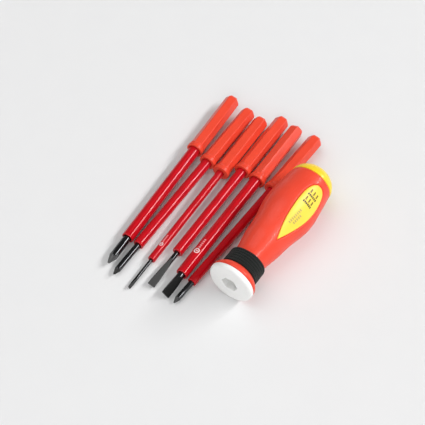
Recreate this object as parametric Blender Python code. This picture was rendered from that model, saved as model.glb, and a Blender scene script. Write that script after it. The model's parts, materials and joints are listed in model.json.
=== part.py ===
"""Insulated screwdriver: a socketed handle and its six interchangeable blades.

The pieces lie side by side on the floor, all pointing roughly along -Y. The handle rests on its
belly and its front flange, and each blade rests on its collar and on the front end of its sleeve.
Each blade pushes into the hexagonal socket in the handle, where a sprung ball holds it.

Every piece is modelled along its own Y axis, with its working end towards -Y, and is then placed
by the empty that carries it. Units are metres, +Z is up, and the origin is the middle of the
footprint on the floor.
"""
import math

import bmesh
import bpy
from mathutils import Vector

MM = 0.001
GAP = 0.3 * MM                      # clearance between neighbouring pieces

# Handle, measured towards the butt from a zero that lies 1.6 mm behind the nose's face
HANDLE_LENGTH = 114.8 * MM          # to the point of the butt
GRIP_END = 101.7 * MM               # where the grip stops and the bare butt begins
BUTT_RADIUS = 16.7 * MM
NOSE_RADIUS = 17.0 * MM
NOSE_FRONT = -1.6 * MM
NOSE_BACK = 2.3 * MM
NOSE_EDGE = 1.5 * MM                # how far the rounding of the rim reaches
SPIGOT_END = 8.0 * MM
NECK_RADIUS = 12.0 * MM
BAND_START = 9.0 * MM
BAND_END = 21.2 * MM
BAND_RADIUS = 14.0 * MM
BAND_RIBS = 5
BAND_GROOVE = 0.35 * MM
LOBE_HEIGHT = 0.022                 # share of the radius by which the three soft lobes rise
LABEL_ANGLE = math.radians(45.5)    # label's direction, from straight up towards +X
LABEL_START = 40.6 * MM
LABEL_LENGTH = 54.8 * MM
LABEL_HALF_WIDTH = 9.0 * MM
LABEL_WIDEST = 0.64                 # share of the label's length, from its pointed end
LABEL_SUNK = 0.5 * MM

# Outer outline of the grip: distance along the handle and radius
GRIP_OUTLINE = (
    (2.6, 16.2), (3.2, 16.8), (4.4, 16.9), (6.2, 15.9), (8.3, 14.0), (8.7, 12.0), (21.5, 12.0),
    (25.4, 12.1), (32.3, 13.35), (39.4, 14.6), (45.0, 15.1), (50.6, 15.8), (57.2, 17.0),
    (62.7, 18.2), (68.8, 19.15), (75.5, 19.4), (82.0, 19.0), (90.0, 18.2), (96.0, 17.5),
    (101.7, 16.7),
)
# Outline of the hard core under the grip
CORE_OUTLINE = (
    (2.6, 9.7), (24.0, 9.7), (32.3, 11.0), (45.0, 12.8), (57.2, 14.6), (68.8, 16.7),
    (75.5, 17.0), (90.0, 15.8), (101.9, 14.2),
)

# Socket and detent, measured like the handle
SOCKET_FLATS = 10.9 * MM            # across the flats of the hexagonal hole
SOCKET_OUTER_RADIUS = 7.6 * MM
SOCKET_END = 55.0 * MM
SEAT_AT = 54.8 * MM                 # a shank stops here, its step 0.3 mm short of the nose
SEAT_RADIUS = 5.1 * MM              # the seat is a boss narrower than the hexagon
STOP_THICKNESS = 2.5 * MM
DETENT_ALONG = 49.5 * MM            # where the detent crosses the handle's axis
BALL_RADIUS = 1.75 * MM
BALL_REACH = 0.8 * MM               # how far the ball stands into the socket
BALL_LIP_RADIUS = 1.66 * MM
BALL_LIP_THICKNESS = 0.25 * MM
SPRING_RADIUS = 1.3 * MM
SPRING_WIRE_RADIUS = 0.2 * MM
SPRING_LENGTH = 2.7 * MM
SPRING_TURNS = 3
PLUG_RADIUS = 2.2 * MM
PLUG_THICKNESS = 1.9 * MM
SLOT_WIDTH = 0.6 * MM

# What all the blades share, measured from the collar's middle
SHANK_FLATS = 10.4 * MM
SHANK_CORNER_RADIUS = 5.8 * MM
SHANK_LENGTH = 59.2 * MM
CHAMFER = 2.4 * MM
COLLAR_RADIUS = 6.5 * MM
COLLAR_HALF_THICKNESS = 1.5 * MM
STEP_RADIUS = 6.05 * MM
STEP_LENGTH = 1.6 * MM
REACH = 119.5 * MM                  # collar to the point of the tip
CROSS_HALF_ANGLE = math.radians(20.0)
CROSS_FLUTE_LENGTH = 3.2           # in rod radii
SLEEVE_IN_SHANK = 12.0 * MM
ROD_IN_SHANK = 50.0 * MM

# Each blade: tip, rod and sleeve diameters and bare steel length (mm), the collar's place on the
# floor from the handle's zero (mm), the turn about the vertical towards +X, and the roll about
# its own axis (degrees)
BLADES = (
    {"tip": "cross", "rod": 6.0, "sleeve": 9.0, "bare": 24.5, "at": (-94.4, 91.5), "turn": 4.85,
     "roll": 12.0},
    {"tip": "cross", "rod": 4.5, "sleeve": 7.8, "bare": 29.0, "at": (-79.5, 87.0), "turn": 1.8,
     "roll": 8.0},
    {"tip": "flat", "rod": 2.5, "sleeve": 5.8, "bare": 27.0, "at": (-65.6, 84.5), "turn": 2.4,
     "roll": 65.0, "width": 2.5, "edge": 0.4, "ground": 9.0},
    {"tip": "flat", "rod": 3.6, "sleeve": 7.8, "bare": 32.0, "at": (-53.05, 94.5), "turn": 1.95,
     "roll": 14.0, "width": 5.5, "edge": 1.0, "ground": 25.0},
    {"tip": "flat", "rod": 5.6, "sleeve": 9.0, "bare": 20.0, "at": (-39.5, 93.0), "turn": 1.8,
     "roll": 40.0, "width": 6.5, "edge": 1.2, "ground": 17.0},
    {"tip": "cross", "rod": 4.0, "sleeve": 6.6, "bare": 20.0, "at": (-25.0, 92.0), "turn": -1.3,
     "roll": 10.0},
)

ROUND_SEGMENTS = 36
BLADE_SEGMENTS = 24

ORANGE_RED = (0.84, 0.072, 0.038)
CLEAR_RED = (0.60, 0.006, 0.012)
YELLOW = (0.95, 0.66, 0.035)
WHITE = (0.90, 0.90, 0.88)
IVORY = (0.80, 0.79, 0.74)
BLACK = (0.012, 0.014, 0.013)
STEEL = (0.16, 0.155, 0.15)
BRIGHT_STEEL = (0.60, 0.60, 0.61)
BRASS = (0.60, 0.43, 0.15)


def material(name, colour, roughness, metallic=0.0):
    """Make one Principled BSDF material."""
    made = bpy.data.materials.new(name)
    made.use_nodes = True
    shader = made.node_tree.nodes["Principled BSDF"]
    shader.inputs["Base Color"].default_value = (*colour, 1.0)
    shader.inputs["Roughness"].default_value = roughness
    shader.inputs["Metallic"].default_value = metallic
    return made


def empty(name, parent=None, location=(0.0, 0.0, 0.0), rotation=(0.0, 0.0, 0.0)):
    """Add an empty that carries one moving body."""
    made = bpy.data.objects.new(name, None)
    made.parent = parent
    made.location = location
    made.rotation_euler = rotation
    made.empty_display_size = 0.01
    bpy.context.scene.collection.objects.link(made)
    return made


def add_object(name, bm, parent, finish=None):
    """Turn a finished bmesh into an object; with no finish it is a hidden cutter."""
    bmesh.ops.recalc_face_normals(bm, faces=bm.faces)
    mesh = bpy.data.meshes.new(name)
    bm.to_mesh(mesh)
    bm.free()
    mesh.shade_smooth()
    mesh.set_sharp_from_angle(angle=math.radians(35.0))
    made = bpy.data.objects.new(name, mesh)
    made.parent = parent
    bpy.context.scene.collection.objects.link(made)
    if finish is None:
        made.hide_render = True
        made.display_type = "WIRE"
    else:
        mesh.materials.append(material(name, *finish))
    return made


def cut(body, cutter, operation="DIFFERENCE"):
    """Combine two objects with an exact Boolean modifier."""
    modifier = body.modifiers.new(cutter.name, "BOOLEAN")
    modifier.operation = operation
    modifier.solver = "EXACT"
    modifier.object = cutter


def turned(name, outline, parent, finish=None, segments=ROUND_SEGMENTS, ring=False):
    """Spin an outline of (distance along Y, radius) points about the Y axis."""
    bm = bmesh.new()
    points = [bm.verts.new((0.0, along, -radius)) for along, radius in outline]
    edges = [bm.edges.new(pair) for pair in zip(points, points[1:])]
    if ring:
        edges.append(bm.edges.new((points[-1], points[0])))
    bmesh.ops.spin(
        bm, geom=points + edges, cent=(0.0, 0.0, 0.0), axis=(0.0, 1.0, 0.0),
        angle=math.tau, steps=segments, use_merge=True,
    )
    bmesh.ops.remove_doubles(bm, verts=bm.verts, dist=1e-6)
    return add_object(name, bm, parent, finish)


def skinned(name, stations, parent, finish, segments, ring=False):
    """Skin a row of cross-sections, each a place along Y and a function of the angle."""
    bm = bmesh.new()
    loops = []
    for along, section in stations:
        angles = [math.tau * step / segments for step in range(segments)]
        loop = []
        for angle in angles:
            across, height = section(angle)
            loop.append(bm.verts.new((across, along, height)))
        loops.append(loop)
    pairs = list(zip(loops, loops[1:]))
    if ring:
        pairs.append((loops[-1], loops[0]))
    else:
        bm.faces.new(loops[0])
        bm.faces.new(loops[-1])
    for loop, following in pairs:
        for step in range(segments):
            after = (step + 1) % segments
            bm.faces.new((loop[step], loop[after], following[after], following[step]))
    return add_object(name, bm, parent, finish)


def round_section(radius):
    """Circle."""
    return lambda angle: (radius * math.cos(angle), radius * math.sin(angle))


def hexagon_section(flats, corner_radius):
    """Hexagon with flats above and below, and corners turned down to corner_radius."""
    def section(angle):
        from_flat = (angle + math.radians(120.0)) % math.radians(60.0) - math.radians(30.0)
        radius = min(flats / 2 / math.cos(from_flat), corner_radius)
        return radius * math.cos(angle), radius * math.sin(angle)
    return section


def cross_section(radius, web):
    """Circle with four right-angled grooves whose bottoms are web from the middle."""
    quarter = math.radians(45.0)

    def section(angle):
        from_groove = abs((angle % math.radians(90.0)) - quarter)
        reach = radius
        if quarter - from_groove > 1e-6:
            reach = min(radius, web * math.sin(quarter) / math.sin(quarter - from_groove))
        return reach * math.cos(angle), reach * math.sin(angle)
    return section


def flat_section(half_width, half_thickness, squareness):
    """Superellipse: 2 is an ellipse, and larger values are squarer."""
    def section(angle):
        cosine = math.cos(angle)
        sine = math.sin(angle)
        across = math.copysign(abs(cosine) ** (2 / squareness), cosine)
        height = math.copysign(abs(sine) ** (2 / squareness), sine)
        return half_width * across, half_thickness * height
    return section


def smooth_step(value, low, high):
    """Rise from 0 at low to 1 at high."""
    share = min(max((value - low) / (high - low), 0.0), 1.0)
    return share * share * (3.0 - 2.0 * share)


def lobed_section(along, radius):
    """Round section with three soft lobes over the belly; the label lies between two lobes."""
    rise = smooth_step(along, 30 * MM, 60 * MM) * (1.0 - smooth_step(along, 72 * MM, 92 * MM))
    height = LOBE_HEIGHT * rise

    def section(angle):
        from_label = angle - (math.radians(90.0) - LABEL_ANGLE)
        reach = radius * (1.0 - height * math.cos(3.0 * from_label))
        return reach * math.cos(angle), reach * math.sin(angle)
    return section


def in_metres(points):
    """The same (distance, radius) points in metres."""
    return [(along * MM, radius * MM) for along, radius in points]


def butt_curve():
    """The dome of the butt, a quarter of an ellipse, from its shoulder to its point."""
    shoulder = GRIP_END + GAP
    depth = HANDLE_LENGTH - shoulder
    steps = 5
    angles = [math.radians(90.0) * step / steps for step in range(steps)]
    return [(shoulder + depth * math.sin(a), BUTT_RADIUS * math.cos(a)) for a in angles]


def label_prism(name, parent, shrink, low, high):
    """A prism on the label's teardrop outline, from radius low to radius high."""
    bm = bmesh.new()
    steps = 14
    sides = []
    for step in range(1, steps):
        share = 0.5 - 0.5 * math.cos(math.pi * step / steps)
        if share < LABEL_WIDEST:
            width = (1.0 - (1.0 - share / LABEL_WIDEST) ** 2) ** 1.1
        else:
            past = (share - LABEL_WIDEST) / (1.0 - LABEL_WIDEST)
            width = (1.0 - past ** 2.3) ** (1.0 / 2.3)
        along = LABEL_START + shrink + (LABEL_LENGTH - 2 * shrink) * share
        sides.append((along, max((LABEL_HALF_WIDTH - shrink) * width, 0.2 * MM)))
    outline = [(LABEL_START + shrink, 0.0)]
    outline += sides
    outline += [(LABEL_START + LABEL_LENGTH - shrink, 0.0)]
    outline += [(along, -width) for along, width in reversed(sides)]
    base = bm.faces.new([bm.verts.new((width, along, low)) for along, width in outline])
    raised = bmesh.ops.extrude_face_region(bm, geom=[base])
    corners = [item for item in raised["geom"] if isinstance(item, bmesh.types.BMVert)]
    bmesh.ops.translate(bm, verts=corners, vec=(0.0, 0.0, high - low))
    prism = add_object(name, bm, parent)
    prism.rotation_euler = (0.0, LABEL_ANGLE, 0.0)
    return prism


def build_grip(handle):
    """The soft overmoulded grip with its front flange and the window for the label."""
    inner = [(along, radius + GAP) for along, radius in in_metres(CORE_OUTLINE[:-1])]
    inner.append((GRIP_END, CORE_OUTLINE[-1][1] * MM + GAP))
    path = in_metres(GRIP_OUTLINE) + inner[::-1]
    stations = [(along, lobed_section(along, radius)) for along, radius in path]
    grip = skinned("grip_sleeve", stations, handle, (ORANGE_RED, 0.5), ROUND_SEGMENTS, ring=True)
    cut(grip, label_prism("label_window", handle, 0.0, 10.0 * MM, 26.0 * MM))
    return grip


def build_core(handle):
    """The hard core: butt dome, raised label pad, and the bores for the socket and detent."""
    path = in_metres(CORE_OUTLINE) + [(GRIP_END + GAP, CORE_OUTLINE[-1][1] * MM)] + butt_curve()
    stations = [(along, lobed_section(along, radius)) for along, radius in path]
    stations.append((HANDLE_LENGTH, round_section(0.4 * MM)))
    core = skinned("handle_core", stations, handle, (YELLOW, 0.38), ROUND_SEGMENTS)

    skin_path = [(along, radius - LABEL_SUNK) for along, radius in in_metres(GRIP_OUTLINE)]
    skin_stations = [(along, lobed_section(along, radius)) for along, radius in skin_path]
    skin = skinned("label_skin", skin_stations, handle, None, ROUND_SEGMENTS)
    pad = label_prism("label_pad", handle, GAP, 9.0 * MM, 25.0 * MM)
    cut(pad, skin, "INTERSECT")
    cut(core, pad, "UNION")

    bore_end = SOCKET_END + STOP_THICKNESS + 2 * GAP
    bore_radius = SOCKET_OUTER_RADIUS + GAP
    bore = turned(
        "socket_bore",
        [(0.0, 0.0), (0.0, bore_radius), (bore_end, bore_radius), (bore_end, 0.0)], handle,
    )
    cut(core, bore)
    hole = turned(
        "detent_bore", [(0.0, 0.0), (0.0, PLUG_RADIUS + GAP), (18 * MM, PLUG_RADIUS + GAP),
                        (18 * MM, 0.0)], handle, segments=24,
    )
    point_down(hole, 0.0)
    cut(core, hole)
    return core


def point_down(piece, radius):
    """Stand a piece modelled along Y on the detent's line, pointing down from the axis."""
    piece.location = (0.0, DETENT_ALONG, -radius)
    piece.rotation_euler = (math.radians(-90.0), 0.0, 0.0)


def hexagon_cutter(name, flats, start, end, parent):
    """A hexagonal prism with flats above and below."""
    bm = bmesh.new()
    corners = []
    for corner in range(6):
        angle = math.radians(60.0) * corner
        radius = flats / 2 / math.cos(math.radians(30.0))
        corners.append(bm.verts.new((radius * math.cos(angle), start, radius * math.sin(angle))))
    face = bm.faces.new(corners)
    raised = bmesh.ops.extrude_face_region(bm, geom=[face])
    far = [item for item in raised["geom"] if isinstance(item, bmesh.types.BMVert)]
    bmesh.ops.translate(bm, verts=far, vec=(0.0, end - start, 0.0))
    return add_object(name, bm, parent)


def build_socket(handle):
    """The nose, the hexagonal liner behind it, and the cushion that the shank stops against."""
    corner = 0.3 * NOSE_EDGE
    nose = turned("nose_disc", [
        (NOSE_FRONT, 0.0), (NOSE_FRONT, NOSE_RADIUS - NOSE_EDGE),
        (NOSE_FRONT + corner, NOSE_RADIUS - corner), (NOSE_FRONT + NOSE_EDGE, NOSE_RADIUS),
        (NOSE_BACK, NOSE_RADIUS), (NOSE_BACK, SOCKET_OUTER_RADIUS),
        (SPIGOT_END, SOCKET_OUTER_RADIUS), (SPIGOT_END, 0.0),
    ], handle, (WHITE, 0.45))
    hexagon = hexagon_cutter("hexagon", SOCKET_FLATS, -7 * MM, SOCKET_END + 5 * MM, handle)
    cut(nose, hexagon)

    start = SPIGOT_END + GAP
    liner = turned("socket_sleeve", [
        (start, 0.0), (start, SOCKET_OUTER_RADIUS), (SOCKET_END, SOCKET_OUTER_RADIUS),
        (SOCKET_END, 0.0),
    ], handle, (IVORY, 0.5))
    cut(liner, hexagon)
    lip = SOCKET_FLATS / 2 + BALL_LIP_THICKNESS
    ball_hole = turned("ball_hole", [
        (0.0, 0.0), (0.0, BALL_LIP_RADIUS), (lip, BALL_LIP_RADIUS), (lip, BALL_RADIUS + GAP),
        (12 * MM, BALL_RADIUS + GAP), (12 * MM, 0.0),
    ], handle, segments=24)
    point_down(ball_hole, 0.0)
    cut(liner, ball_hole)

    shoulder = SOCKET_END + GAP
    stop_end = shoulder + STOP_THICKNESS
    turned("socket_stop", [
        (SEAT_AT, 0.0), (SEAT_AT, SEAT_RADIUS), (shoulder, SEAT_RADIUS),
        (shoulder, SOCKET_OUTER_RADIUS), (stop_end, SOCKET_OUTER_RADIUS), (stop_end, 0.0),
    ], handle, (BLACK, 0.8), segments=32)


def build_detent(handle):
    """The ball that grips the shank's flat, its spring, and the plug that holds the spring."""
    ball_centre = SOCKET_FLATS / 2 + BALL_RADIUS - BALL_REACH
    slide = empty("detent_slide", handle, (0.0, DETENT_ALONG, -ball_centre))
    bm = bmesh.new()
    bmesh.ops.create_uvsphere(bm, u_segments=16, v_segments=10, radius=BALL_RADIUS)
    add_object("detent_ball", bm, slide, (BRIGHT_STEEL, 0.2, 1.0))

    spring_start = ball_centre + BALL_RADIUS + SPRING_WIRE_RADIUS + 0.05 * MM
    spring_end = spring_start + SPRING_LENGTH - 2 * SPRING_WIRE_RADIUS
    points_per_turn = 8
    count = SPRING_TURNS * points_per_turn + 1
    wire = bpy.data.curves.new("detent_spring", "CURVE")
    wire.dimensions = "3D"
    wire.bevel_depth = SPRING_WIRE_RADIUS
    wire.bevel_resolution = 1
    wire.use_fill_caps = True
    spline = wire.splines.new("POLY")
    spline.points.add(count - 1)
    for index, point in enumerate(spline.points):
        angle = math.tau * index / points_per_turn
        share = index / (count - 1)
        down = spring_start + (spring_end - spring_start) * share
        across = SPRING_RADIUS * math.cos(angle)
        along = DETENT_ALONG + SPRING_RADIUS * math.sin(angle)
        point.co = (across, along, -down, 1.0)
    wire.materials.append(material("detent_spring", BRIGHT_STEEL, 0.3, 1.0))
    spring = bpy.data.objects.new("detent_spring", wire)
    spring.parent = handle
    bpy.context.scene.collection.objects.link(spring)

    plug_start = spring_end + SPRING_WIRE_RADIUS + 0.1 * MM
    plug = turned("detent_plug", [
        (0.0, 0.0), (0.0, PLUG_RADIUS), (PLUG_THICKNESS, PLUG_RADIUS), (PLUG_THICKNESS, 0.0),
    ], handle, (BRASS, 0.35, 1.0), segments=24)
    point_down(plug, plug_start)
    slot = hexagon_cutter("plug_slot", SLOT_WIDTH, -3 * MM, 3 * MM, handle)
    slot.location = (0.0, DETENT_ALONG, -plug_start - PLUG_THICKNESS)
    cut(plug, slot)


def build_band(handle):
    """The ribbed elastic band around the neck."""
    inner = NECK_RADIUS + GAP
    width = BAND_END - BAND_START
    outline = [(BAND_START, inner)]
    for rib in range(BAND_RIBS):
        low = BAND_START + width * rib / BAND_RIBS
        rib_width = width / BAND_RIBS
        outline += [(low, BAND_RADIUS - BAND_GROOVE), (low + 0.5 * rib_width, BAND_RADIUS)]
    outline += [(BAND_END, BAND_RADIUS - BAND_GROOVE), (BAND_END, inner)]
    turned("neck_band", outline, handle, (BLACK, 0.9), ring=True)


def rod_stations(spec):
    """Cross-sections of a steel rod from its buried end to the end of its tip."""
    radius = spec["rod"] / 2 * MM
    stations = [(ROD_IN_SHANK, round_section(radius - 0.3 * MM)),
                (ROD_IN_SHANK - 0.5 * MM, round_section(radius))]
    if spec["tip"] == "cross":
        point = 0.22 * radius
        cone = (radius - point) / math.tan(CROSS_HALF_ANGLE)
        fluted = CROSS_FLUTE_LENGTH * radius
        stations.append((fluted - REACH, round_section(radius)))
        steps = 6
        for step in range(1, steps):
            ahead = (fluted - 0.3 * MM) * step / steps
            along = fluted - ahead - REACH
            left = fluted - ahead
            full = min(radius, point + (radius - point) * left / cone)
            web = 0.34 * radius + (0.72 * radius) * left / fluted
            stations.append((along, cross_section(full, min(web, full))))
        stations.append((0.0 - REACH, cross_section(point * 1.1, point * 0.9)))
    else:
        ground = spec["ground"] * MM
        half_width = spec["width"] / 2 * MM
        half_edge = spec["edge"] / 2 * MM
        steps = 5
        for step in range(steps + 1):
            share = step / steps
            width = radius + (half_width - radius) * smooth_step(share, 0.0, 0.9)
            thickness = radius + (half_edge - radius) * share ** 0.85
            squareness = 2.0 + 6.0 * min(share * 1.6, 1.0)
            stations.append((ground * (1.0 - share) - REACH,
                             flat_section(width, thickness, squareness)))
    return stations


def shank_stations(spec):
    """Cross-sections of a shank: chamfer, hexagon, step and collar, then its stepped bore."""
    hexagon = hexagon_section(SHANK_FLATS, SHANK_CORNER_RADIUS)
    front = -COLLAR_HALF_THICKNESS
    edge = 0.5 * MM
    sleeve_bore = round_section(spec["sleeve"] / 2 * MM + GAP)
    rod_bore = round_section(spec["rod"] / 2 * MM + GAP)
    step_end = COLLAR_HALF_THICKNESS + STEP_LENGTH
    return [
        (SHANK_LENGTH, hexagon_section(SHANK_FLATS - CHAMFER, SHANK_CORNER_RADIUS - CHAMFER / 2)),
        (SHANK_LENGTH - CHAMFER, hexagon),
        (step_end + edge, hexagon),
        (step_end, round_section(STEP_RADIUS)),
        (COLLAR_HALF_THICKNESS, round_section(STEP_RADIUS)),
        (COLLAR_HALF_THICKNESS - edge, round_section(COLLAR_RADIUS)),
        (front + edge, round_section(COLLAR_RADIUS)),
        (front, round_section(COLLAR_RADIUS - edge)),
        (front, sleeve_bore),
        (SLEEVE_IN_SHANK, sleeve_bore),
        (SLEEVE_IN_SHANK, rod_bore),
        (ROD_IN_SHANK + GAP, rod_bore),
    ]


def build_blade(number, spec, layout):
    """One blade: a steel rod, an insulating sleeve on it, and the shank at its back."""
    sleeve_radius = spec["sleeve"] / 2 * MM
    sleeve_front = REACH - spec["bare"] * MM
    pitch = math.atan((COLLAR_RADIUS - sleeve_radius) / (sleeve_front - COLLAR_HALF_THICKNESS))
    across, along = spec["at"]
    holder = empty(
        f"blade_{number}", layout, (across * MM, along * MM, 0.0),
        (pitch, 0.0, math.radians(spec["turn"])),
    )
    blade = empty(f"blade_{number}_roll", holder)
    blade.rotation_euler = (0.0, math.radians(spec["roll"]), 0.0)
    skinned(
        f"blade_{number}_rod", rod_stations(spec), blade, (STEEL, 0.35, 1.0), BLADE_SEGMENTS,
    )
    tube = spec["rod"] / 2 * MM + GAP
    edge = 0.3 * MM
    back = SLEEVE_IN_SHANK - GAP
    sleeve = turned(f"blade_{number}_sleeve", [
        (back, tube), (back, sleeve_radius), (edge - sleeve_front, sleeve_radius),
        (-sleeve_front, sleeve_radius - edge), (-sleeve_front, tube),
    ], blade, (CLEAR_RED, 0.25), segments=BLADE_SEGMENTS, ring=True)
    shank = skinned(
        f"blade_{number}_shank", shank_stations(spec), blade, (ORANGE_RED, 0.42), BLADE_SEGMENTS,
    )
    rest_on_floor(holder, [shank, sleeve])


def lowest_and_highest(objects):
    """Corners of the box around the finished meshes of some objects, in world space."""
    bpy.context.view_layer.update()
    graph = bpy.context.evaluated_depsgraph_get()
    places = []
    for item in objects:
        finished = item.evaluated_get(graph)
        mesh = finished.to_mesh()
        places += [item.matrix_world @ vertex.co for vertex in mesh.vertices]
        finished.to_mesh_clear()
    low = Vector([min(place[axis] for place in places) for axis in range(3)])
    high = Vector([max(place[axis] for place in places) for axis in range(3)])
    return low, high


def rest_on_floor(holder, objects):
    """Raise an empty until the lowest point of what it carries is at height zero."""
    low, _ = lowest_and_highest(objects)
    holder.location.z -= low.z


def build_handle(layout):
    """The handle with its socket, detent and band, tilted so that belly and flange both rest."""
    belly_along, belly_radius = max(in_metres(GRIP_OUTLINE), key=lambda point: point[1])
    belly_radius *= 1.0 - 0.8 * LOBE_HEIGHT
    tilt = math.atan((belly_radius - NOSE_RADIUS) / (belly_along - NOSE_FRONT - NOSE_EDGE))
    handle = empty("handle", layout, rotation=(tilt, 0.0, 0.0))
    grip = build_grip(handle)
    build_core(handle)
    build_socket(handle)
    build_detent(handle)
    build_band(handle)
    rest_on_floor(handle, [grip, bpy.data.objects["nose_disc"]])


def main():
    for item in list(bpy.data.objects):
        bpy.data.objects.remove(item)
    layout = empty("layout")
    build_handle(layout)
    for number, spec in enumerate(BLADES, start=1):
        build_blade(number, spec, layout)
    nodes = [item for item in bpy.data.objects if item.type != "EMPTY" and not item.hide_render]
    low, high = lowest_and_highest(nodes)
    layout.location = (-(low.x + high.x) / 2, -(low.y + high.y) / 2, 0.0)


main()
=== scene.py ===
"""Looks of the insulated screwdriver: a soft-gripped handle beside its six sleeved blades.

Every piece is modelled along its own Y axis, working end towards -Y, in millimetres from the
handle's zero or from the back end of a blade, and is then carried into the row frame by a matrix
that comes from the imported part.
"""
import json
import math

import bmesh
import bpy
import numpy as np
from mathutils import Matrix, Vector


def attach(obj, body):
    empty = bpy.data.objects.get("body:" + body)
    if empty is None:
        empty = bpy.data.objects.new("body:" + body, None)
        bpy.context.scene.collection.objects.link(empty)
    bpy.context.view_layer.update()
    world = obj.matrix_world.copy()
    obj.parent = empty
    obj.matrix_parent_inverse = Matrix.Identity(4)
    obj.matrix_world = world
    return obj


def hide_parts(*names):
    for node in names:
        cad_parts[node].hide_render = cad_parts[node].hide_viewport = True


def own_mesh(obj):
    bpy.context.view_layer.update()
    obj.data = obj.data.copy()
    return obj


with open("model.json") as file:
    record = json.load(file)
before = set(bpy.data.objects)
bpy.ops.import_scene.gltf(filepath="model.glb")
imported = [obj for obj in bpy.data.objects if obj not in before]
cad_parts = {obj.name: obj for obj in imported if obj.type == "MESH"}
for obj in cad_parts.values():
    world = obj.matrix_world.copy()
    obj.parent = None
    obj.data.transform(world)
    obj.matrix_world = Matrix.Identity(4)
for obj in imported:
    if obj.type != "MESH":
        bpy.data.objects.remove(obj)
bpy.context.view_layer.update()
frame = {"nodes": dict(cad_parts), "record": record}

MM = 0.001
FULL_TURN = 2.0 * math.pi

# Handle, millimetres from its zero, which lies just behind the nose's face
NOSE_RADIUS = 17.0
NOSE_FRONT = -1.6
NOSE_BACK = 2.3
SPIGOT_RADIUS = 7.6
SPIGOT_END = 8.0
SOCKET_FLATS = 10.9
CORE_BORE_RADIUS = 7.9
CORE_BORE_END = 58.1
SEAT_AT = 54.8
GRIP_START = 2.6
GRIP_END = 101.7
HANDLE_LENGTH = 114.8
BUTT_RADIUS = 16.7
LOBE_HEIGHT = 0.022
LABEL_START = 40.6
LABEL_LENGTH = 54.8
LABEL_HALF_WIDTH = 9.0
LABEL_WIDEST = 0.64                 # share of its length at which it is widest
LABEL_POINT_POWER = 1.1
LABEL_END_POWER = 2.3
LABEL_ROLL = math.radians(44.5)     # the label's direction, from X towards Z
LOBE_RISE = (30.0, 60.0)
LOBE_FALL = (72.0, 92.0)
PIECE_GAP = 0.3
DETENT_ALONG = 49.5
DETENT_BORE_RADIUS = 2.5
DETENT_BORE_HEIGHTS = (-5.0, -18.0)
SPRING_TURNS = 3
SPRING_WIRE_RADIUS = 0.2
BAND_START = 9.0
BAND_END = 21.2
BAND_INNER = 12.3
BAND_OUTER = 14.0
FLANGE = ((16.3, 0.0), (16.9, 0.9), (16.9, 1.9), (15.9, 3.6), (14.0, 5.7), (12.0, 6.1))
BELLY = (
    (21.5, 12.0), (25.4, 12.1), (32.3, 13.35), (39.4, 14.6), (45.0, 15.1), (50.6, 15.8),
    (57.2, 17.0), (62.7, 18.2), (68.8, 19.15), (75.5, 19.4), (82.0, 19.0), (90.0, 18.2),
    (96.0, 17.5), (101.7, 16.7),
)
CORE_PATH = (
    (3.0, 9.7), (24.0, 9.7), (32.3, 11.0), (45.0, 12.8), (57.2, 14.6), (68.8, 16.7),
    (75.5, 17.0), (90.0, 15.8), (101.9, 14.2),
)

# Blades, millimetres; CROSS_FLUTE_LENGTH and CROSS_POINT are in rod radii
CROSS_HALF_ANGLE = math.radians(20.0)
CROSS_FLUTE_LENGTH = 3.2
CROSS_POINT = 0.24
SHANK_FLATS = 10.4
SHANK_CHAMFER = 2.3
COLLAR_LENGTH = 3.0
STEP_LENGTH = 1.6
STEP_RADIUS = 6.1
SLEEVE_POCKET = 12.0                # how far the sleeve goes into the shank
BLADES = (
    # kind of tip, length of a flat tip's ground faces, how light and how rough ground steel is; the
    # lightness is set per blade and holds painted shade and painted reflection, blade 5's near-black
    # face most of all
    ("cross", 0.0, 0.13, 0.34), ("cross", 0.0, 0.05, 0.34), ("flat", 9.0, 0.07, 0.34),
    ("flat", 25.0, 0.08, 0.38), ("flat", 17.0, 0.008, 0.45), ("cross", 0.0, 0.09, 0.34),
)
# Blade: the ring's distance from the sleeve's front, its radius, and its angle from X towards Z
PRINTS = {3: (13.6, 1.6, 102.0), 5: (20.0, 2.1, 97.0)}

# Label print, millimetres along and across the label
PRINT_GROUPS = (86.6, 79.4)
PRINT_BARS = (-1.7, 1.3, 4.3)
PRINT_DOTS = (-2.3, 4.9, 6)         # from, to and count
PRINT_DOT_STEP = 3.3                # how far the dots lie in front of their bars
BAR_SIZE = (3.4, 1.1)               # marks, along and across
DOT_SIZE = (1.7, 1.05)
TICK_SIZE = (1.15, 2.0)
PRINT_ROWS = ((2.0, 57.0, 69.0), (-0.8, 59.0, 66.0))    # across, from and to along the label
PRINT_TICK_PITCH = 1.7


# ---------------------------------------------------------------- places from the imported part

def mount(name):
    """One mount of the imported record."""
    return next(item for item in frame["record"]["mounts"] if item["name"] == name)


def along_y(origin, back):
    """Matrix from millimetres to the row frame: Y runs along back, Z is as near up as it can be."""
    y_axis = Vector(back).normalized()
    x_axis = y_axis.cross(Vector((0.0, 0.0, 1.0))).normalized()
    z_axis = x_axis.cross(y_axis)
    turn = Matrix((x_axis, y_axis, z_axis)).transposed().to_4x4()
    return Matrix.Translation(origin) @ turn @ Matrix.Scale(MM, 4)


def handle_place():
    """The handle's matrix, with zero on its axis at the handle's zero."""
    seat = mount("socket_seat")
    back = -Vector(seat["axis"])
    return along_y(Vector(seat["pos_m"]) - back * SEAT_AT * MM, back)


def blade_place(number):
    """A blade's matrix, with zero in the middle of its shank's end face."""
    end = mount(f"blade_{number}_shank_end")
    return along_y(Vector(end["pos_m"]), end["axis"])


def local_points(node, place):
    """A CAD node's corners in a piece's own millimetres."""
    inverse = np.array(place.inverted())
    mesh = frame["nodes"][node].data
    corners = np.empty(len(mesh.vertices) * 3)
    mesh.vertices.foreach_get("co", corners)
    corners = corners.reshape(-1, 3)
    return corners @ inverse[:3, :3].T + inverse[:3, 3]


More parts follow.
